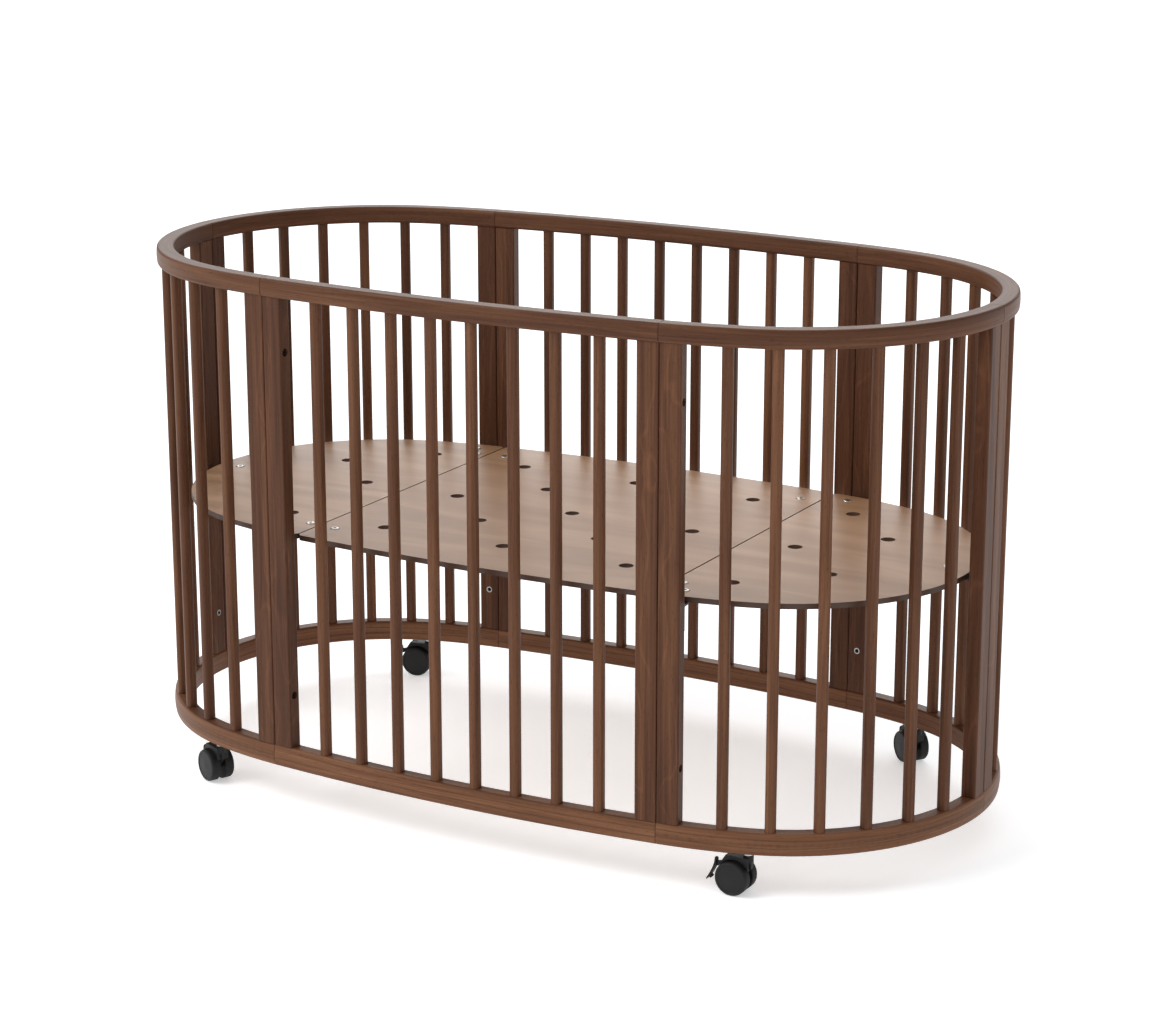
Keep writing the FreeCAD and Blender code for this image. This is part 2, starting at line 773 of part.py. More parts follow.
def brackets():
    face = size("stile_depth") / 2
    near = 1.5
    far = near + size("bracket_width")
    seat = stile_seat("right_front", "left")
    bolts = [(x, -y) for x, y in CORNER_BOLTS]
    leg = [(near, face), (far, face), (far, 78), (6, 102), (-68, 100), (-68, 74), (near, 58)]
    corner = bracket("corner_bracket_master", seat, leg, bolts)
    across = corner.mirror(Vector(), Vector(1, 0, 0))
    half_turn = Placement(Vector(), Rotation(Vector(0, 0, 1), 180))
    turns = (Placement(), half_turn)
    group("corner_brackets", [(shape, turn) for shape in (corner, across) for turn in turns])
    seat = stile_seat("right_back", "left")
    leg = [(near, face), (far, face), (far, 80), (near, 80)]
    end = bracket("end_bracket_master", seat, leg, [END_BOLT])
    group("end_brackets", [(end, Placement()), (end, half_turn)])


# ---------------------------------------------------------------- casters

CORNERS = {
    "front_left": (-1, -1),
    "front_right": (1, -1),
    "back_left": (-1, 1),
    "back_right": (1, 1),
}


def caster_seat(corner):
    """Floor point under a swivel axis, turned to the caster's heading. The wheels trail at -X."""
    sx, sy = CORNERS[corner]
    x = size("caster_x")
    y = math.sqrt(END.radius**2 - (x - END.x) ** 2)
    return Placement(Vector(sx * x, sy * y, 0), Rotation(Vector(0, 0, 1), size(f"heading_{corner}")))


def hub():
    return -size("trail"), size("wheel_radius")


def lever_pivot():
    x, z = hub()
    return x - size("lever_pivot_back"), z + size("lever_pivot_up")


# Outlines in the caster's upright plane, measured from the wheel hub: X forwards, Z up.
WEB_OUTLINE = [(-6, -6), (6, -6), (25, 15), (25.4, 27.5), (-14, 26.5), (-17, 18), (-9, 4)]
HOOD_SPAN = (30, 150)
HOOD_BACK = (-24.0, 13.5)
HOOD_CREST = -11.8
LEVER_LINE = [(-30.8, 22.2), (-31.6, 12.5), (-35.6, 2.0), (-39.6, -5.2), (-45.0, -13.2)]
LEVER_HALF = [1.1, 1.5, 1.6, 1.4, 0.8]
ARM_OUTLINE = [(-10.5, 20.4), (-31.0, 16.5), (-33.0, 8.0), (-13.5, 14.6)]
SHOE_OUTLINE = [(-39.0, -4.0), (-41.5, -8.5), (-38.4, -11.0), (-35.6, -8.0)]


def from_hub(points):
    x, z = hub()
    return [(x + u, z + w) for u, w in points]


def hood_outline():
    """The hood fills the space between the wheels' circle and the swivel collar."""
    x, z = hub()
    first, last = [math.radians(angle) for angle in HOOD_SPAN]
    circle = Part.Circle(Vector(x, z, 0), Vector(0, 0, 1), size("hood_radius"))
    arc = Part.ArcOfCircle(circle, first, last)
    low_back = Vector(x + HOOD_BACK[0], z + HOOD_BACK[1], 0)
    crest = Vector(x + HOOD_CREST, size("hood_top"), 0)
    brow = Vector(arc.StartPoint.x, size("hood_top"), 0)
    return [arc, Part.LineSegment(low_back, crest), Part.LineSegment(brow, arc.StartPoint)]


def housing(corner):
    """Moulded caster body: a web between the wheels, a hood above them and a swivel collar."""
    label = f"{corner}_caster_housing"
    body = node(doc.addObject("PartDesign::Body", label), label)
    x, z = hub()
    top = size("ring_base") - size("flange_height") - size("swivel_gap")
    web = sketch_on(body, f"{label}_web", "XZ_Plane")
    outline(web, from_hub(WEB_OUTLINE))
    pad(body, web, " .web", middle=True)
    hood = sketch_on(body, f"{label}_hood", "XZ_Plane")
    chain(hood, hood_outline())
    pad(body, hood, " .hood_width", middle=True)
    boss = sketch_on(body, f"{label}_boss", "XY_Plane", shift_z(size("boss_low")))
    circles(boss, [(0, 0)], " .boss_radius", size("boss_radius"))
    pad(body, boss, " .collar_low + 1 - .boss_low")
    collar = sketch_on(body, f"{label}_collar", "XY_Plane", shift_z(size("collar_low")))
    circles(collar, [(0, 0)], " .collar_radius", size("collar_radius"))
    pad(body, collar, " .ring_base - .flange_height - .swivel_gap - .collar_low")

    def rim(edge):
        return edge.Closed and abs(edge.CenterOfMass.z - top) < 0.1

    dress(body, "Chamfer", f"{label}_bevel", rim, "Size", " .collar_bevel")
    bore = sketch_on(body, f"{label}_bore", "XY_Plane", shift_z(top))
    circles(bore, [(0, 0)], " .stem_radius + .running_gap", size("stem_radius"))
    pocket(body, bore, " .ring_base - .flange_height - .swivel_gap - .boss_low - 1.5")
    axle_hole = sketch_on(body, f"{label}_axle_hole", "XZ_Plane")
    circles(axle_hole, [(x, z)], " .axle_radius + .running_gap", size("axle_radius"))
    pocket(body, axle_hole, " .web + 2", middle=True)
    slot = sketch_on(body, f"{label}_slot", "XZ_Plane")
    circles(slot, [lever_pivot()], " .lever_eye + 14", size("lever_eye"))
    pocket(body, slot, " .lever_slot", middle=True)
    pin = sketch_on(body, f"{label}_pin_hole", "XZ_Plane")
    circles(pin, [lever_pivot()], " .lever_pin + .running_gap", size("lever_pin"))
    pocket(body, pin, " .web + 2", middle=True)
    body.Placement = caster_seat(corner)


def blade_outline():
    """The lever's curved blade: a centre line, thickened by its half thickness on each side."""
    spots = [Vector(*spot, 0) for spot in from_hub(LEVER_LINE)]
    ahead = spots[1:] + spots[-1:]
    behind = spots[:1] + spots[:-1]
    across = [Vector(b.y - a.y, a.x - b.x, 0).normalize() for a, b in zip(behind, ahead)]
    sides = []
    for sign in (1, -1):
        side = Part.BSplineCurve()
        side.interpolate([spot + out * (sign * half) for spot, out, half in zip(spots, across, LEVER_HALF)])
        sides.append(side)
    return sides


def lever(corner):
    """Brake lever: an eye with stub pins in the web, an arm and a curved blade behind the wheels."""
    label = f"{corner}_caster_brake_lever"
    body = node(doc.addObject("PartDesign::Body", label), label)
    px, pz = lever_pivot()
    near, far = blade_outline()
    blade = sketch_on(body, f"{label}_blade", "XZ_Plane")
    tip = Part.LineSegment(near.EndPoint, far.EndPoint)
    crest = Part.LineSegment(far.StartPoint, near.StartPoint)
    ids = [blade.addGeometry(curve, False) for curve in (near, tip, far, crest)]
    constrain(blade, "Coincident", ids[0], FINISH, ids[1], START)
    constrain(blade, "Coincident", ids[1], FINISH, ids[2], FINISH)
    constrain(blade, "Coincident", ids[2], START, ids[3], START)
    constrain(blade, "Coincident", ids[3], FINISH, ids[0], START)
    pad(body, blade, " .lever_width", middle=True)
    side = size("lever_width") / 2

    def at_end(edge, height):
        return abs(edge.CenterOfMass.z - height) < 2 and abs(abs(edge.CenterOfMass.y) - side) < 0.1 \
            and edge.Length < 3

    hub_height = size("wheel_radius")
    high = hub_height + LEVER_LINE[0][1]
    low = hub_height + LEVER_LINE[-1][1]
    dress(body, "Fillet", f"{label}_crest", lambda edge: at_end(edge, high), "Radius", " .lever_width * 0.4")
    dress(body, "Fillet", f"{label}_tip", lambda edge: at_end(edge, low), "Radius", " .lever_width * 0.2")
    arm = sketch_on(body, f"{label}_arm", "XZ_Plane")
    outline(arm, from_hub(ARM_OUTLINE))
    pad(body, arm, " .lever_arm", middle=True)
    shoe = sketch_on(body, f"{label}_shoe", "XZ_Plane")
    outline(shoe, from_hub(SHOE_OUTLINE))
    pad(body, shoe, " .lever_width - 2", middle=True)
    eye = sketch_on(body, f"{label}_eye", "XZ_Plane")
    circles(eye, [(px, pz)], " .lever_eye", size("lever_eye"))
    pad(body, eye, " .lever_arm", middle=True)
    stub = sketch_on(body, f"{label}_stubs", "XZ_Plane")
    circles(stub, [(px, pz)], " .lever_pin", size("lever_pin"))
    pad(body, stub, " .web - 0.2", middle=True)
    body.Placement = caster_seat(corner)


def wheel(corner, side):
    """One disc of the twin wheel: a rounded tread, a closed outer face and a blind axle bore."""
    label = f"{corner}_caster_wheel_{side}"
    body = node(doc.addObject("PartDesign::Body", label), label)
    sign = 1 if side == "left" else -1
    x, z = hub()
    full = size("wheel_radius")
    inside = size("wheel_gap") / 2
    outside = inside + size("wheel_width")
    bore = size("axle_radius") + size("running_gap")
    deep = size("axle_half") + 0.4
    profile = sketch_on(body, f"{label}_profile", "XY_Plane", Placement(Vector(x, 0, z), Rotation()))
    points = [
        (bore, inside), (full - 1.2, inside), (full, inside + 1.2), (full, outside - 3.4),
        (full - 0.9, outside - 1.5), (full - 3, outside - 0.5), (full - 4.2, outside - 0.4),
        (full - 4.8, outside - 1.1), (8, outside - 0.5), (0, outside), (0, deep), (bore, deep),
    ]
    outline(profile, [(r, sign * y) for r, y in points])
    turned = body.newObject("PartDesign::Revolution", f"{label}_turned")
    turned.Profile = profile
    turned.ReferenceAxis = (profile, ["V_Axis"])
    turned.Angle = 360
    body.Placement = caster_seat(corner)


def axle(corner):
    label = f"{corner}_caster_axle"
    pin = node(doc.addObject("Part::Cylinder", label), label)
    bind(pin, "Radius", " .axle_radius")
    bind(pin, "Height", " .axle_half * 2")
    x, z = hub()
    seat = Placement(Vector(x, size("axle_half"), z), AIM_MINUS_Y)
    pin.Placement = caster_seat(corner).multiply(seat)


def stems():
    """Swivel stems: a pin pressed into the bottom rail, with a flange under it."""
    pin = master("Part::Cylinder", "stem_pin", Radius=" .stem_radius",
                 Height=" .stem_length + .ring_base - .boss_low - 2.2")
    bind(pin, "Placement.Base.z", " .boss_low + 2.2")
    flange = master("Part::Cylinder", "stem_flange", Radius=" .flange_radius", Height=" .flange_height")
    bind(flange, "Placement.Base.z", " .ring_base - .flange_height")
    stem = combine("Part::MultiFuse", "stem_master", pin, flange).Shape
    group("caster_stems", [(stem, caster_seat(corner)) for corner in CORNERS])


# ---------------------------------------------------------------- the whole crib

def stem_hole(body, corner):
    """Blind hole for a caster stem, drilled up into a bottom rail."""
    seat = caster_seat(corner).Base
    sketch = sketch_on(body, f"{body.Label}_stem_hole", "XY_Plane", shift_z(size("ring_base")))
    circles(sketch, [(seat.x, seat.y)], " .stem_radius + .glue_gap", size("stem_radius"))
    pocket(body, sketch, " .stem_length + 1", reverse=True)


STEM_IN = {
    "left_front": "front_left",
    "right_front": "front_right",
    "left_back": "back_left",
    "right_back": "back_right",
}

slat_shape = slat_master()
for panel, arcs in PANELS.items():
    rail(panel, "rail")
    bottom = rail(panel, "ring")
    if panel in STEM_IN:
        stem_hole(bottom, STEM_IN[panel])
    stile(panel, "left")
    stile(panel, "right")
    group(f"{panel}_slats", [(slat_shape, upright(*along(arcs, d))) for d in slat_distances(panel)])

mattress_base()
brackets()
fasteners()

for corner in CORNERS:
    housing(corner)
    lever(corner)
    wheel(corner, "left")
    wheel(corner, "right")
    axle(corner)
stems()

doc.recompute()

for item in doc.Objects:
    if {"Invalid", "Error"} & set(item.State):
        raise RuntimeError(f"{item.Label} failed: {item.State}")

os.makedirs("parts", exist_ok=True)
for item in NODES:
    shape = item.Shape
    if shape.isNull() or not shape.isValid():
        raise RuntimeError(f"{item.Label} has no valid shape")
    shape.exportStep(f"parts/{item.Label}.step")
print(f"{len(NODES)} nodes, {sum(len(item.Shape.Solids) for item in NODES)} solids")
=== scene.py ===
import math

import bpy
from mathutils import Matrix, Vector


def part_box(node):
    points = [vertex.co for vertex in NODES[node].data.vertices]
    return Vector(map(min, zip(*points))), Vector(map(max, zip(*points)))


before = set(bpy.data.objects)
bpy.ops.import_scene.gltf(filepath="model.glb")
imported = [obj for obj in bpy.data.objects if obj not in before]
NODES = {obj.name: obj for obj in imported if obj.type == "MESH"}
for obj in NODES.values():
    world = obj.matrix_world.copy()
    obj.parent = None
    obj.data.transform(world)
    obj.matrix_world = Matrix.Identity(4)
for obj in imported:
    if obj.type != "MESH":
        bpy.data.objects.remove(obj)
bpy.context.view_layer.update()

# Looks for the oval slatted crib: dark-stained wood, plywood base, steel fasteners, moulded casters.
# Metres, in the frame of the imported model: +Z up, X along the crib, Y across it.

PANELS = ("front", "right_front", "right_back", "back", "left_back", "left_front")
STRAIGHT_PANELS = ("front", "back")

# ---------------------------------------------------------------- plan outline of the crib

HALF_LENGTH = 0.6728
JOINT_X = 0.325
JOINT_Y = 0.327
BOW = 0.017
END_RADIUS = 0.316
STILE_WIDTH = 0.033
SLAT_WIDTH = 0.016

FRONT_RADIUS = (JOINT_X**2 + BOW**2) / (2 * BOW)
LEAN = math.asin(JOINT_X / FRONT_RADIUS)
ACROSS = HALF_LENGTH - JOINT_X - END_RADIUS
SHOULDER_RADIUS = (ACROSS**2 + JOINT_Y**2 - END_RADIUS**2) / (
    2 * (JOINT_Y * math.cos(LEAN) - ACROSS * math.sin(LEAN) - END_RADIUS)
)
TURN = math.atan2(
    ACROSS + SHOULDER_RADIUS * math.sin(LEAN),
    SHOULDER_RADIUS * math.cos(LEAN) - JOINT_Y,
)
FRONT_RUN = FRONT_RADIUS * LEAN
SHOULDER_RUN = SHOULDER_RADIUS * (TURN - LEAN)
END_RUN = END_RADIUS * (math.pi / 2 - TURN)
SHOULDER_END_X = HALF_LENGTH - END_RADIUS + END_RADIUS * math.sin(TURN)

# Each arc in one quarter of the plan: centre, radius, angle at its start and run before it.
ARCS = [
    ((0.0, JOINT_Y + BOW - FRONT_RADIUS), FRONT_RADIUS, 0.0, 0.0),
    (
        (JOINT_X - SHOULDER_RADIUS * math.sin(LEAN), JOINT_Y - SHOULDER_RADIUS * math.cos(LEAN)),
        SHOULDER_RADIUS, LEAN, FRONT_RUN,
    ),
    ((HALF_LENGTH - END_RADIUS, 0.0), END_RADIUS, TURN, FRONT_RUN + SHOULDER_RUN),
]


def slat_grid(panel):
    """Run of a panel's first slat along the outline, and the pitch of its slats."""
    if panel in STRAIGHT_PANELS:
        start, length, count = -FRONT_RUN, 2 * FRONT_RUN, 8
    else:
        start, length, count = FRONT_RUN, SHOULDER_RUN + END_RUN, 6
    gap = (length - 2 * STILE_WIDTH - count * SLAT_WIDTH) / (count + 1)
    return start + STILE_WIDTH + gap + SLAT_WIDTH / 2, gap + SLAT_WIDTH


# ---------------------------------------------------------------- node graph helper

class Graph:
    """A material under construction. Sockets and plain numbers are both accepted as inputs."""

    def __init__(self, name):
        self.material = bpy.data.materials.new(name)
        self.material.use_nodes = True
        self.tree = self.material.node_tree
        self.tree.nodes.clear()
        self.shader = self.node("ShaderNodeBsdfPrincipled")
        output = self.node("ShaderNodeOutputMaterial")
        self.tree.links.new(self.shader.outputs[0], output.inputs[0])

    def node(self, kind, **settings):
        node = self.tree.nodes.new(kind)
        for key, value in settings.items():
            setattr(node, key, value)
        return node

    def feed(self, socket, value):
        if isinstance(value, bpy.types.NodeSocket):
            self.tree.links.new(value, socket)
        elif value is not None:
            socket.default_value = value

    def math(self, operation, *values, clamp=False):
        node = self.node("ShaderNodeMath", operation=operation, use_clamp=clamp)
        for socket, value in zip(node.inputs, values):
            self.feed(socket, value)
        return node.outputs[0]

    def mix(self, factor, a, b):
        """a where the factor is 0, b where it is 1."""
        node = self.node("ShaderNodeMix", data_type="FLOAT")
        for socket, value in zip(node.inputs[:1] + node.inputs[2:4], (factor, a, b)):
            self.feed(socket, value)
        return node.outputs[0]

    def blend(self, factor, a, b, how="MIX"):
        node = self.node("ShaderNodeMix", data_type="RGBA", blend_type=how)
        for socket, value in zip(node.inputs[:1] + node.inputs[6:8], (factor, a, b)):
            self.feed(socket, value)
        return node.outputs[2]

    def span(self, value, low, high, out_low=0.0, out_high=1.0):
        """Smooth rise from out_low to out_high as the value goes from low to high."""
        node = self.node("ShaderNodeMapRange", interpolation_type="SMOOTHSTEP")
        for socket, entry in zip(node.inputs, (value, low, high, out_low, out_high)):
            self.feed(socket, entry)
        return node.outputs[0]

    def vector(self, x, y, z):
        node = self.node("ShaderNodeCombineXYZ")
        for socket, value in zip(node.inputs, (x, y, z)):
            self.feed(socket, value)
        return node.outputs[0]

    def noise(self, vector, scale=1.0, detail=3.0, roughness=0.55, distortion=0.0):
        node = self.node("ShaderNodeTexNoise")
        self.feed(node.inputs["Vector"], vector)
        node.inputs["Scale"].default_value = scale
        node.inputs["Detail"].default_value = detail
        node.inputs["Roughness"].default_value = roughness
        node.inputs["Distortion"].default_value = distortion
        return node.outputs[0]

    def ramp(self, factor, stops):
        node = self.node("ShaderNodeValToRGB")
        elements = node.color_ramp.elements
        while len(elements) < len(stops):
            elements.new(0.5)
        for element, (place, colour) in zip(elements, stops):
            element.position = place
            element.color = (*colour, 1.0)
        self.feed(node.inputs[0], factor)
        return node.outputs[0]

    def position(self):
        split = self.node("ShaderNodeSeparateXYZ")
        self.feed(split.inputs[0], self.node("ShaderNodeTexCoord").outputs["Object"])
        return split.outputs[:3]

    def facing_up(self):
        """1 on faces that look up or down, 0 on upright ones."""
        split = self.node("ShaderNodeSeparateXYZ")
        self.feed(split.inputs[0], self.node("ShaderNodeNewGeometry").outputs["Normal"])
        return self.math("ABSOLUTE", split.outputs[2])

    def bump(self, height, strength, distance):
        node = self.node("ShaderNodeBump")
        node.inputs["Strength"].default_value = strength
        node.inputs["Distance"].default_value = distance
        self.feed(node.inputs["Height"], height)
        self.feed(self.shader.inputs["Normal"], node.outputs[0])

    def finish(self, colour, roughness, **constants):
        self.feed(self.shader.inputs["Base Color"], colour)
        self.feed(self.shader.inputs["Roughness"], roughness)
        for name, value in constants.items():
            self.shader.inputs[name.replace("_", " ")].default_value = value
        return self.material


def srgb(code):
    """Linear colour of a hexadecimal sRGB code."""
    parts = [int(code[i:i + 2], 16) / 255 for i in (0, 2, 4)]
    return tuple(p / 12.92 if p <= 0.04045 else ((p + 0.055) / 1.055) ** 2.4 for p in parts)


def outline_place(g):
    """Where a surface point is along the crib's outline, how far outside it, and its height."""
    x, y, z = g.position()
    ax = g.math("ABSOLUTE", x)
    ay = g.math("ABSOLUTE", y)
    places = []
    for (cx, cy), radius, start, run in ARCS:
        dx = g.math("SUBTRACT", x if start == 0.0 else ax, cx)
        dy = g.math("SUBTRACT", ay, cy)
        reach = g.math("SQRT", g.math("ADD", g.math("MULTIPLY", dx, dx), g.math("MULTIPLY", dy, dy)))
        offset = g.math("SUBTRACT", reach, radius)
        angle = g.math("ARCTAN2", dx, dy)
        along = g.math("MULTIPLY_ADD", angle, radius, run - start * radius)
        places.append((along, offset))
    on_end = g.math("GREATER_THAN", ax, SHOULDER_END_X)
    on_panel = g.math("GREATER_THAN", ax, JOINT_X)
    along, offset = (
        g.mix(on_panel, first, g.mix(on_end, second, third)) for first, second, third in zip(*places)
    )
    return along, offset, z


# ---------------------------------------------------------------- wood

SEED_SHIFT = 7.3
SLAT_TONE_SPREAD = 0.16
PLY_THICKNESS = 0.0022
GLUE_LINE = 0.00028
FLAMES_PER_METRE = 75.0
STRIPES_PER_METRE = 190.0

WOOD_STOPS = [
    (0.20, srgb("40261a")),
    (0.42, srgb("573725")),
    (0.60, srgb("6a4630")),
    (0.82, srgb("80583e")),
]


def wood(name, seed, lengthwise, figure=0.0, lines=0.0, tone=0.0, laminated=False, grid=None):
    """Dark-stained wood. The grain runs along the outline on rails, and up on stiles and slats."""
    g = Graph(name)
    along, offset, z = outline_place(g)
    shift = SEED_SHIFT * seed
    if grid:
        first, pitch = grid
        index = g.math("ROUND", g.math("DIVIDE", g.math("SUBTRACT", along, first), pitch))
        chance = g.node("ShaderNodeTexWhiteNoise", noise_dimensions="1D")
        g.feed(chance.inputs["W"], g.math("ADD", index, shift))
        tone = g.math("MULTIPLY_ADD", chance.outputs[0], SLAT_TONE_SPREAD, tone - SLAT_TONE_SPREAD / 2)
        shift = g.math("MULTIPLY_ADD", chance.outputs[0], 40.0, shift)
    if lengthwise:
        run, cross, deep = g.math("ADD", along, shift), offset, z
    else:
        run, cross, deep = g.math("ADD", z, shift), offset, along

    def field(run_scale, cross_scale, **settings):
        parts = (
            g.math("MULTIPLY", run, run_scale),
            g.math("MULTIPLY", cross, cross_scale),
            g.math("MULTIPLY", deep, cross_scale),
        )
        return g.noise(g.vector(*parts), **settings)

    broad = field(1.6, 22.0, detail=2.0, distortion=0.4)
    grain = field(3.2, 105.0, detail=4.0, roughness=0.6, distortion=1.0)
    streak = field(9.0, 520.0, detail=3.0, roughness=0.65)
    fleck = field(95.0, 900.0, detail=1.0)
    value = g.math("MULTIPLY_ADD", grain, 0.7, tone)
    value = g.math("MULTIPLY_ADD", broad, 0.4, value)
    value = g.math("MULTIPLY_ADD", streak, 0.25, value)
    value = g.math("SUBTRACT", value, 0.175)
    colour = g.ramp(value, WOOD_STOPS)
    if figure:
        wave = g.math("MULTIPLY", field(5.0, 11.0, detail=1.5, distortion=0.5), 9.0)
        ring = g.math("PINGPONG", g.math("MULTIPLY_ADD", deep, FLAMES_PER_METRE, wave), 1.0)
        flame = g.span(ring, 0.0, 0.22, 1.0 + figure, 1.0)
        colour = g.blend(1.0, colour, g.vector(flame, flame, flame), "MULTIPLY")
    if lines:
        wander = g.math("MULTIPLY", field(2.4, 14.0, detail=2.0), 3.4)
        stripe = g.math("PINGPONG", g.math("MULTIPLY_ADD", z, STRIPES_PER_METRE, wander), 1.0)
        dark = g.span(stripe, 0.0, 0.30, 1.0 - lines, 1.0)
        colour = g.blend(1.0, colour, g.vector(dark, dark, dark), "MULTIPLY")
    pores = g.span(fleck, 0.60, 0.72, 1.0, 0.72)
    colour = g.blend(1.0, colour, g.vector(pores, pores, pores), "MULTIPLY")
    if laminated:
        layer = g.math("PINGPONG", g.math("MULTIPLY_ADD", broad, 0.0006, offset), PLY_THICKNESS)
        glue = g.span(layer, 0.0, GLUE_LINE, 0.62, 1.0)
        colour = g.blend(1.0, colour, g.vector(glue, glue, glue), "MULTIPLY")
    height = g.math("MULTIPLY_ADD", fleck, -0.6, g.math("ADD", streak, grain))
    g.bump(height, 0.16, 0.0006)
    rough = g.math("MULTIPLY_ADD", streak, 0.20, 0.36)
    return g.finish(colour, rough, Specular_IOR_Level=0.14)


BASE_PLY = 0.0008


def plywood(name, seed):
    """Stained plywood: a paler satin face with long streaks, and dark layered edges."""
    g = Graph(name)
    x, y, z = g.position()
    place = g.vector(
        g.math("MULTIPLY_ADD", x, 2.4, 5.1 * seed),
        g.math("MULTIPLY", y, 15.0),
        g.math("MULTIPLY", z, 40.0),
    )
    broad = g.noise(place, detail=3.0, roughness=0.5, distortion=0.8)
    fine_place = g.vector(g.math("MULTIPLY_ADD", x, 14.0, 3.0 * seed), g.math("MULTIPLY", y, 420.0), z)
    fine = g.noise(fine_place, detail=3.0, roughness=0.6)
    value = g.math("MULTIPLY_ADD", g.math("SUBTRACT", fine, 0.5), 0.3, broad)
    face = g.ramp(value, [
        (0.25, srgb("8a6548")),
        (0.50, srgb("9b7657")),
        (0.75, srgb("ac8768")),
    ])
    layer = g.math("PINGPONG", z, BASE_PLY)
    edge = g.ramp(g.math("MULTIPLY", layer, 1 / BASE_PLY), [(0.3, srgb("33211a")), (0.8, srgb("5c3f2e"))])
    colour = g.blend(g.span(g.facing_up(), 0.5, 0.8), edge, face)
    g.bump(g.math("ADD", fine, broad), 0.10, 0.0005)
    rough = g.math("MULTIPLY_ADD", fine, 0.16, 0.34)
    return g.finish(colour, rough, Specular_IOR_Level=0.35)


# ---------------------------------------------------------------- metal and plastic

def metal(name, dark, light, roughness, shine):
    """Plated or painted steel with fine brushed variation and a slightly worn finish."""
    g = Graph(name)
    place = g.vector(*g.position())
    cloud = g.noise(place, scale=60.0, detail=3.0)
    scratch = g.noise(place, scale=1500.0, detail=2.0)
    colour = g.ramp(g.math("MULTIPLY_ADD", scratch, 0.4, g.math("MULTIPLY", cloud, 0.6)), [
        (0.3, srgb(dark)),
        (0.7, srgb(light)),
    ])
    g.bump(scratch, 0.10, 0.0002)
    rough = g.math("MULTIPLY_ADD", cloud, 0.15, roughness)
    return g.finish(colour, rough, Metallic=shine)


def plastic(name, dark, light, roughness, grain_scale=900.0):
    """Moulded nylon with a fine spark-eroded grain."""
    g = Graph(name)
    place = g.vector(*g.position())
    cloud = g.noise(place, scale=45.0, detail=3.0)
    grain = g.noise(place, scale=grain_scale, detail=2.0)
    colour = g.ramp(g.math("MULTIPLY_ADD", grain, 0.5, g.math("MULTIPLY", cloud, 0.5)), [
        (0.3, srgb(dark)),
        (0.7, srgb(light)),
    ])
    g.bump(grain, 0.25, 0.0003)
    rough = g.math("MULTIPLY_ADD", cloud, 0.14, roughness)
    return g.finish(colour, rough, Specular_IOR_Level=0.3)


TREAD_START = 0.0236
TREAD_FULL = 0.0246
PARTING_HALF = 0.0005


def wheel_plastic(name, node, heading):
    """Wheel: a smoother disc face with turned rings, and a duller tread with a parting line."""
    g = Graph(name)
    low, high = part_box(node)
    centre = (low + high) / 2
    spin = Vector((-math.sin(heading), math.cos(heading), 0.0))
    place = g.node("ShaderNodeVectorMath", operation="SUBTRACT")
    g.feed(place.inputs[0], g.node("ShaderNodeTexCoord").outputs["Object"])
    place.inputs[1].default_value = centre
    dot = g.node("ShaderNodeVectorMath", operation="DOT_PRODUCT")
    g.feed(dot.inputs[0], place.outputs[0])
    dot.inputs[1].default_value = spin
    length = g.node("ShaderNodeVectorMath", operation="LENGTH")
    g.feed(length.inputs[0], place.outputs[0])
    sideways = dot.outputs["Value"]
    whole = length.outputs["Value"]
    square = g.math("SUBTRACT", g.math("MULTIPLY", whole, whole), g.math("MULTIPLY", sideways, sideways))
    reach = g.math("SQRT", g.math("MAXIMUM", square, 0.0))
    tread = g.span(reach, TREAD_START, TREAD_FULL)
    cloud = g.noise(place.outputs[0], scale=70.0, detail=3.0)
    grain = g.noise(place.outputs[0], scale=1100.0, detail=2.0)
    turned = g.math("MULTIPLY_ADD", g.math("SINE", g.math("MULTIPLY", reach, 5200.0)), 0.12, grain)
    disc = g.ramp(g.math("MULTIPLY_ADD", cloud, 0.6, g.math("MULTIPLY", grain, 0.4)), [
        (0.3, srgb("0e0e0e")),
        (0.7, srgb("161616")),
    ])
    rubber = g.ramp(cloud, [(0.3, srgb("0c0c0c")), (0.7, srgb("151515"))])
    parting = g.span(g.math("ABSOLUTE", sideways), 0.0, PARTING_HALF, 1.5, 1.0)
    colour = g.blend(tread, disc, rubber)
    colour = g.blend(tread, colour, g.blend(1.0, colour, g.vector(parting, parting, parting), "MULTIPLY"))
    g.bump(turned, 0.2, 0.0003)
    return g.finish(colour, g.mix(tread, 0.46, 0.62), Specular_IOR_Level=0.3)


# ---------------------------------------------------------------- dressing the frame

def dress(name, material):
    mesh = NODES[name].data
    mesh.materials.clear()
    mesh.materials.append(material)


STILE_TONES = (-0.13, -0.05, -0.09)
HEADINGS = {"front_left": -25.0, "front_right": 0.0, "back_left": 13.0, "back_right": -38.0}

for number, panel in enumerate(PANELS):
    bent = panel not in STRAIGHT_PANELS
    dress(f"{panel}_top_rail", wood(f"beech_{panel}_top", number + 1.0, True, lines=0.14, tone=-0.03))
    # Painted light: the bottom ring's tone of 0.15 makes it lighter than the top rails. Part of that lift is
    # painted light bounced up from the floor, and the rest is the ring's own paler laminated wood.
    ring = wood(f"beech_{panel}_bottom", number + 11.0, True, lines=0.30, tone=0.15, laminated=bent)
    dress(f"{panel}_bottom_rail", ring)
    for turn, side in enumerate(("left", "right")):
        seed = 21 + 2 * number + turn
        post = wood(f"beech_{panel}_{side}", seed, False, figure=0.24, tone=STILE_TONES[seed % 3])
        dress(f"{panel}_stile_{side}", post)
    dress(f"{panel}_slats", wood(f"beech_{panel}_slats", number + 41.0, False, grid=slat_grid(panel)))

for number, part in enumerate(("left", "middle", "right")):
    dress(f"base_{part}", plywood(f"plywood_{part}", number + 1.0))

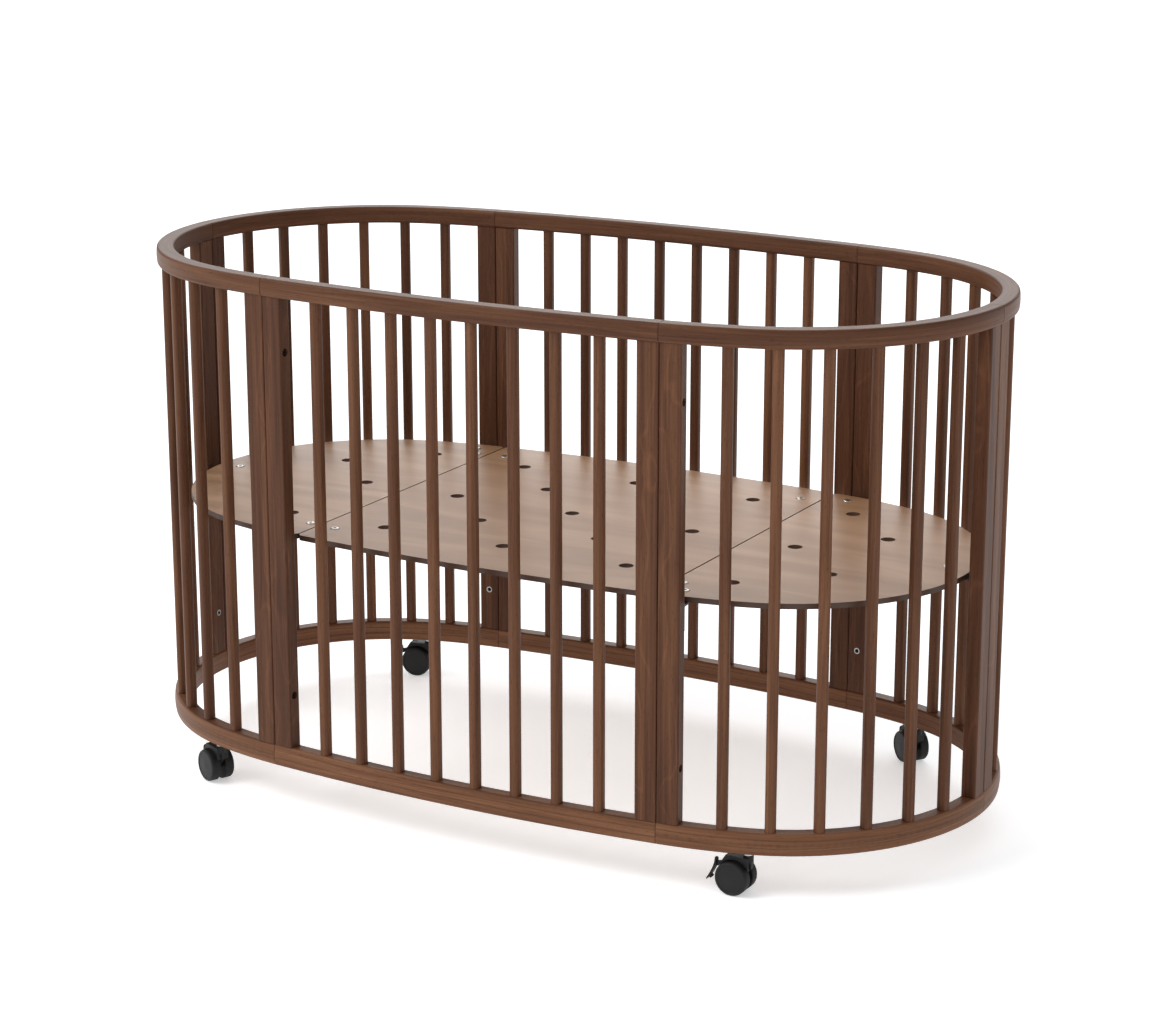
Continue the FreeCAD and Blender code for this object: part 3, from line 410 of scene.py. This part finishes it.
ZINC = metal("zinc_plate", "9a9a98", "d8d8d6", 0.24, 1.0)
BLACK_STEEL = metal("black_steel", "18181a", "303033", 0.42, 0.4)
for name in ("base_bolts", "bracket_screws", "threaded_inserts", "caster_stems"):
    dress(name, ZINC)
for name in ("corner_brackets", "end_brackets", "panel_bolts"):
    dress(name, BLACK_STEEL)

HOUSING = plastic("housing_nylon", "0b0b0b", "171717", 0.44)
LEVER = plastic("lever_nylon", "080808", "131313", 0.42)
AXLE = metal("axle_steel", "7c7c7c", "c4c4c4", 0.3, 1.0)
for corner, degrees in HEADINGS.items():
    dress(f"{corner}_caster_housing", HOUSING)
    dress(f"{corner}_caster_brake_lever", LEVER)
    dress(f"{corner}_caster_axle", AXLE)
    for side in ("left", "right"):
        name = f"{corner}_caster_wheel_{side}"
        dress(name, wheel_plastic(f"wheel_{corner}_{side}", name, math.radians(degrees)))


# ---------------------------------------------------------------- floor, light and camera

FLOOR_HALF = 30.0
FLOOR_TOP = -0.0002
FLOOR_GLOW = 0.42


def plane(name, half, place):
    """A flat square, facing up."""
    mesh = bpy.data.meshes.new(name)
    corners = [(-half, -half, 0.0), (half, -half, 0.0), (half, half, 0.0), (-half, half, 0.0)]
    mesh.from_pydata(corners, [], [(0, 1, 2, 3)])
    thing = bpy.data.objects.new(name, mesh)
    thing.location = place
    bpy.context.scene.collection.objects.link(thing)
    return thing


def floor_material():
    g = Graph("pale_floor")
    cloud = g.noise(g.vector(*g.position()), scale=3.0, detail=2.0)
    colour = g.ramp(cloud, [(0.3, (0.90, 0.92, 0.94)), (0.7, (0.93, 0.95, 0.97))])
    return g.finish(
        colour, 0.9, Specular_IOR_Level=0.1, Emission_Color=(1.0, 1.0, 1.0, 1.0), Emission_Strength=FLOOR_GLOW
    )


floor = plane("floor", FLOOR_HALF, (0.0, 0.0, FLOOR_TOP))
floor.data.materials.append(floor_material())


def sun_light(name, origin, softness, strength):
    """A wide soft source, far away in the direction of origin. Softness is its width in degrees."""
    data = bpy.data.lights.new(name, "SUN")
    data.angle = math.radians(softness)
    data.energy = strength
    light = bpy.data.objects.new(name, data)
    light.rotation_euler = (-Vector(origin)).to_track_quat("-Z", "Y").to_euler()
    bpy.context.scene.collection.objects.link(light)


scene = bpy.context.scene
# The backdrop looks white but lights the crib more softly than white would.
WORLD_LIGHT = 0.62
WORLD_SEEN = 1.0
world = bpy.data.worlds.new("studio")
world.use_nodes = True
background = world.node_tree.nodes["Background"]
background.inputs["Color"].default_value = (1.0, 1.0, 1.0, 1.0)
rays = world.node_tree.nodes.new("ShaderNodeLightPath")
brightness = world.node_tree.nodes.new("ShaderNodeMapRange")
brightness.inputs["To Min"].default_value = WORLD_LIGHT
brightness.inputs["To Max"].default_value = WORLD_SEEN
world.node_tree.links.new(rays.outputs["Is Camera Ray"], brightness.inputs["Value"])
world.node_tree.links.new(brightness.outputs["Result"], background.inputs["Strength"])
scene.world = world
sun_light("key", (-1.0, -0.85, 1.3), 35.0, 1.35)
sun_light("rim", (-0.49, 0.87, 0.55), 50.0, 1.1)

CAMERA_PLACE = Vector((2.1261, -3.7447, 1.6171))
CAMERA_YAW = -0.5120
CAMERA_PITCH = 0.2704
LENS = 90.1
SENSOR = 36.0

camera_data = bpy.data.cameras.new("camera")
camera_data.sensor_fit = "HORIZONTAL"
camera_data.sensor_width = SENSOR
camera_data.lens = LENS
camera_data.clip_end = 100.0
camera = bpy.data.objects.new("camera", camera_data)
look = Vector((
    math.sin(CAMERA_YAW) * math.cos(CAMERA_PITCH),
    math.cos(CAMERA_YAW) * math.cos(CAMERA_PITCH),
    -math.sin(CAMERA_PITCH),
))
aim = look.to_track_quat("-Z", "Y").to_matrix().to_4x4()
camera.matrix_world = Matrix.Translation(CAMERA_PLACE) @ aim
scene.collection.objects.link(camera)
scene.camera = camera
scene.view_settings.view_transform = "Standard"
